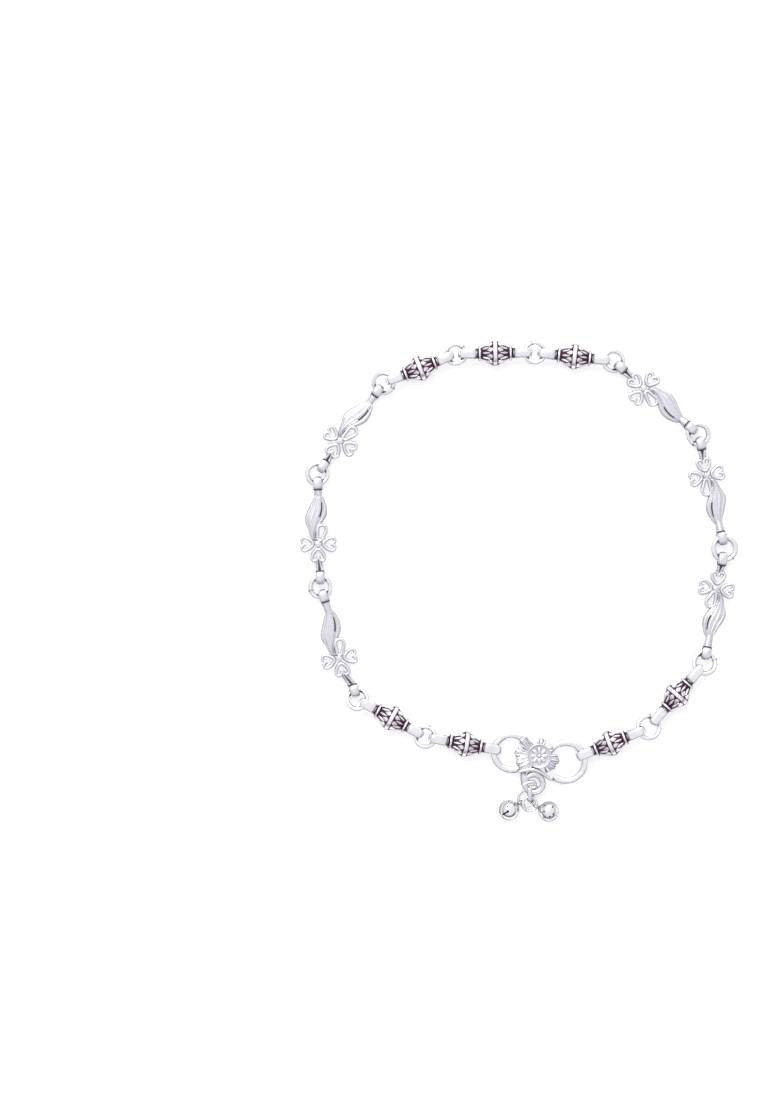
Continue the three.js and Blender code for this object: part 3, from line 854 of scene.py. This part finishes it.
def layPlate():
    middle = claspShape["thickness"] / 2
    disc = start("cylinder", vertices=64, radius=claspShape["discRadius"],
                 depth=claspShape["thickness"] + claspShape["rise"])
    disc.data.transform(moved(0, 0, claspShape["rise"] / 2))
    top = middle + claspShape["rise"]
    ground = top - claspShape["sunk"]
    edit(disc, lambda p: p.z > middle)
    bpy.ops.mesh.inset(thickness=claspShape["rim"], depth=0)
    bpy.ops.mesh.inset(thickness=claspShape["rimSlope"], depth=ground - top)
    done(disc)
    apply(disc, "BEVEL", width=claspShape["discRound"], segments=3, limit_method="ANGLE",
          angle_limit=math.radians(40))
    rosette = makeRosette(ground)
    lobes = [makeLobe(*lobe) for lobe in claspShape["lobes"]]
    fold = makeFold()

    # painted shade in the disc's sunk ground
    def discBlack(p):
        sunk = p.z > ground - 0.05 and math.hypot(p.x, p.y) < claspShape["groundReach"]
        return claspShape["groundTone"] if sunk else claspShape["discTone"]

    tarnishAndShade(disc, discBlack)
    # painted shade low on the rosette's petals and on the lobes
    tarnishAndShade(rosette, lambda p: 0.0 if p.z > ground + rosetteShape["petalTop"] else claspShape["petalTone"])
    for piece in lobes:
        tarnishAndShade(piece, lambda p: 0.0 if p.z > claspShape["lobeLow"] else claspShape["lobeTone"])
    for piece in (disc, rosette):
        piece.data.transform(moved(*claspShape["discAt"]))
    plate = joinAll([disc, rosette, fold, *lobes])
    place = onClasp(claspPlan["plate"]) + up * (claspPlan["plateBottom"] + middle)
    layOut(plate, "claspPlate", Matrix.Translation(place), "clasp", castSilver)


scrollShape = {
    "band": {"across": 1.15, "tall": 0.86, "sides": 14, "bend": 10, "full": 1.08}, "bandRadius": 1.8,
    "edge": {"across": 0.3, "tall": 1.0, "sides": 10, "bend": 10}, "edgeOut": 0.3, "lineIn": 0.12,
    "curl": {"across": 0.62, "tall": 0.96, "sides": 12, "bend": 15, "full": 1.08},
    "curlAt": (-2.15, -0.35), "curlHeading": 40, "curlLegs": ((2.9, -40), (0.62, -215)),
    # the flat side that joins the ring to the plate: along, side, half width and half height
    "side": ((-0.5, 0.2, 0.2, 0.25), (-0.1, 0.12, 0.5, 0.4), (0.8, 0.02, 0.72, 0.44), (1.9, -0.1, 0.85, 0.44),
             (2.6, -0.1, 0.8, 0.4)),
    "sideAt": (-1.9, -0.1),
    "sole": ((-1.5, 0.2), (-0.8, 0.5), (0.2, 0.55), (1.0, 0.2)), "soleSide": -0.85, "soleLift": -0.1,
    # below the height low, every piece gets painted shade of lowTone
    "soleDeep": 0.3, "half": 0.5, "low": 0.25, "lowTone": 0.26,
    # the bail that takes the bell rings: its strap, length, height, corner and place, and its middle's height
    "bail": {"across": 0.42, "tall": 0.92, "sides": 12, "bend": 15}, "bailSize": (3.1, 2.42, 0.62),
    "bailAt": (-0.8, -2.15), "bailMiddle": 0.72, "bailTone": 0.15,
}


def makeBail():
    bail = roundedLoop("bail", scrollShape["bail"], *scrollShape["bailSize"])
    rise = scrollShape["bailMiddle"] - claspPlan["scrollBottom"]
    bail.data.transform(moved(*scrollShape["bailAt"], rise) @ turned(90, "Z"))
    # painted shade over the bail, which hangs under the scroll
    return tarnishAndShade(bail, lambda p: scrollShape["bailTone"])


def layScroll():
    # a broad ring with a raised edge hangs from the plate, and a thinner curl lies over its opening
    rounds = []
    for name, section, radius in (("ring", "band", scrollShape["bandRadius"]),
                                  ("edge", "edge", scrollShape["bandRadius"] + scrollShape["edgeOut"]),
                                  ("line", "edge", scrollShape["bandRadius"] - scrollShape["lineIn"])):
        rounds.append(layWire(name, scrollShape[section], (radius, 0), 90, [(radius, 360)], True))
    side = loft("side", 14, [{"along": x, "side": y, "lift": 0, "half": half, "deep": deep}
                             for x, y, half, deep in scrollShape["side"]])
    side.data.transform(moved(*scrollShape["sideAt"]) @ turned(90, "Z"))
    curl = layWire("curl", scrollShape["curl"], scrollShape["curlAt"], scrollShape["curlHeading"],
                   scrollShape["curlLegs"], False)
    soleSide, lift, deep = scrollShape["soleSide"], scrollShape["soleLift"], scrollShape["soleDeep"]
    sole = smooth(loft("sole", 14, [{"along": x, "side": soleSide, "lift": lift, "half": half, "deep": deep}
                                    for x, half in scrollShape["sole"]]), 1)
    pieces = [*rounds, side, curl, sole]
    # painted shade on every piece below the height low
    for piece in pieces:
        tarnishAndShade(piece, lambda p: 0.0 if p.z > scrollShape["low"] else scrollShape["lowTone"])
    scroll = joinAll([*pieces, makeBail()])
    place = onClasp(claspPlan["scroll"]) + up * (claspPlan["scrollBottom"] + scrollShape["half"])
    layOut(scroll, "claspScroll", Matrix.Translation(place), "clasp", castSilver)


layLoops()
layPlate()
layScroll()
print("clasp laid")


bellShape = {
    "radius": 2.05, "wall": 0.35, "slot": 0.3, "hole": 0.5, "slotAngle": 55, "seam": (0.09, 1.005),
    # small holes round the shell: how far each leans from the top, and where it is turned to
    "prick": 0.18, "pricks": ((24, 20), (30, 130), (38, 250), (46, 75), (44, 320), (155, 60), (150, 200)),
    "eye": {"hole": 0.42, "outside": 0.72, "width": 0.5},
    # the neck under the eye, from the shell's surface: along and radius
    "neck": ((-0.3, 0.75), (-0.04, 0.62), (0.1, 0.4)), "neckEnd": (0.05, 0.32),
    # painted shade inside; and how dark the outside, the seam's joint line and the eye are
    "inside": 0.9, "outside": 0.1, "seamTone": 0.12, "seamLine": 0.05, "eyeTone": 0.35,
}


def bellCutters(radius):
    # two crossed slots, a round hole at each of their ends, and the small holes
    angle = math.radians(bellShape["slotAngle"])
    deep = radius * (1 - math.cos(angle))
    wide = 2 * radius * math.sin(angle)
    cutters = []
    for turn in (0, 90):
        slot = start("cube", size=1, scale=(deep + 1, bellShape["slot"], wide))
        slot.data.transform(turned(turn, "X") @ moved(-radius + (deep - 1) / 2, 0))
        cutters.append(slot)
    for turn in (0, 90, 180, 270):
        hole = start("cylinder", vertices=24, radius=bellShape["hole"] / 2, depth=1.4,
                     rotation=(0, math.pi / 2, 0))
        hole.data.transform(turned(turn, "X") @ turned(bellShape["slotAngle"], "Y") @ moved(-radius, 0))
        cutters.append(hole)
    for tilt, around in bellShape["pricks"]:
        prick = start("cylinder", vertices=16, radius=bellShape["prick"], depth=1.0)
        prick.data.transform(turned(around, "Z") @ turned(tilt, "Y") @ moved(0, 0, radius))
        cutters.append(prick)
    return cutters


def makeShell(radius):
    shell = start("uv_sphere", segments=64, ring_count=40, radius=radius, rotation=(0, math.pi / 2, 0))
    seamHalf, seamSwell = bellShape["seam"]
    edit(shell, lambda p: abs(p.x) < seamHalf)
    bpy.ops.transform.resize(value=(1, seamSwell, seamSwell), center_override=(0, 0, 0))
    done(shell)
    apply(shell, "SOLIDIFY", thickness=bellShape["wall"], offset=-1)
    cutters = bellCutters(radius)
    for cutter in cutters:
        apply(shell, "BOOLEAN", operation="DIFFERENCE", solver="EXACT", object=cutter)
    discard(*cutters)

    # painted shade inside the shell, seen through its slots and holes; the seam is a dark joint line
    def black(p):
        if p.length < radius - 0.12:
            return bellShape["inside"]
        return bellShape["outside"] + bellShape["seamTone"] * (abs(p.x) < bellShape["seamLine"])

    return tarnishAndShade(shell, black)


def makeBell(eyeAt):
    # the eye is on +X, and the slots open round the pole at -X
    radius, eyeSize = bellShape["radius"], bellShape["eye"]
    shell = makeShell(radius)
    wall = eyeSize["outside"] - eyeSize["hole"]
    loopRadius = (eyeSize["outside"] + eyeSize["hole"]) / 2
    loop = layWire("bellEye", {"across": wall, "tall": eyeSize["width"], "sides": 10, "bend": 15},
                   (loopRadius, 0), 90, [(loopRadius, 360)], True)
    loop.data.transform(moved(eyeAt, 0) @ turned(90, "X"))
    neckEnd = max(eyeAt - eyeSize["hole"] - 0.1, radius)
    rows = [(radius + x, thick, thick) for x, thick in bellShape["neck"]]
    beyond, thin = bellShape["neckEnd"]
    neck = loft("neck", 14, straightRows([*rows, (neckEnd + beyond, thin, thin)]))
    for piece in (loop, neck):
        tarnishAndShade(piece, lambda p: bellShape["eyeTone"])
    return joinAll([shell, loop, neck])


def layBell(number, facts):
    low, high = (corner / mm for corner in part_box(f"bell_{number}"))
    radius = bellShape["radius"]
    edge = low.x + radius if number == 1 else high.x - radius
    centre = Vector((edge, (low.y + high.y) / 2, radius))
    outwards = (centre - facts["centre"]).to_2d().to_3d().normalized()
    onWire = facts["centre"] + outwards * (facts["outside"] - facts["wire"]) / 2
    along = (onWire - centre).normalized()
    bell = makeBell((onWire - centre).length)
    layOut(bell, f"roundBell_{number}", facing(centre, along), f"bell_{number}", wireSilver)


for number, facts in enumerate(bellRings, 1):
    layBell(number, facts)
print("bells laid")


stageLook = {"floor": 6, "tone": 0.6, "rough": 0.9, "ownLight": 0.55}   # the floor is a lit white sheet


def addStage():
    only()
    bpy.ops.mesh.primitive_plane_add(size=stageLook["floor"])
    floor = bpy.context.object
    floor.name = "floor"
    material = bpy.data.materials.new("paleFloor")
    material.use_nodes = True
    sockets = material.node_tree.nodes["Principled BSDF"].inputs
    sockets["Base Color"].default_value = (stageLook["tone"], stageLook["tone"], stageLook["tone"], 1)
    sockets["Roughness"].default_value = stageLook["rough"]
    sockets["Emission Color"].default_value = (1, 1, 1, 1)
    sockets["Emission Strength"].default_value = stageLook["ownLight"]
    floor.data.materials.append(material)


def addLight(name, size, power, place):
    # a soft box aimed at the middle of the anklet
    data = bpy.data.lights.new(name, "AREA")
    data.shape, data.size, data.size_y, data.energy = "RECTANGLE", size[0], size[1], power
    light = bpy.data.objects.new(name, data)
    bpy.context.scene.collection.objects.link(light)
    light.location = place
    light.rotation_euler = (-Vector(place)).to_track_quat("-Z", "Y").to_euler()


roomLook = {"overhead": 0.93, "back": 0.8, "side": 0.55, "front": 0.1, "tint": (0.97, 0.965, 1.0, 1)}


def addRoom():
    # soft light from overhead that falls off towards the horizon, most of all in front
    world = bpy.data.worlds.new("softRoom")
    world.use_nodes = True
    tree = world.node_tree
    shade = Shade(tree)
    way = shade.node("ShaderNodeTexCoord", out="Generated")
    parts = [shade.node("ShaderNodeSeparateXYZ", {}, {0: way}, out=i) for i in range(3)]

    def ease(value, low, high, fromValue, toValue):
        return shade.node("ShaderNodeMapRange", {"interpolation_type": "SMOOTHSTEP"},
                          {0: value, 1: low, 2: high, 3: fromValue, 4: toValue})

    around = ease(parts[1], -0.6, 0.0, roomLook["front"], roomLook["side"]) \
        + ease(parts[1], 0.0, 0.8, 0.0, roomLook["back"] - roomLook["side"])
    height = ease(parts[2], 0.12, 0.72, 0.0, 1.0)
    strength = around * (1 - height) + height * roomLook["overhead"]
    background = tree.nodes["Background"]
    background.inputs["Color"].default_value = roomLook["tint"]
    tree.links.new(strength.socket, background.inputs["Strength"])
    bpy.context.scene.world = world


addStage()
addRoom()
addLight("topBox", (0.7, 0.7), 10, (-0.3, 0.75, 1.25))
addLight("backBox", (1.4, 0.3), 2.5, (0.2, 1.3, 0.6))
bpy.context.scene.view_settings.view_transform = "Standard"
print("stage and lights set")
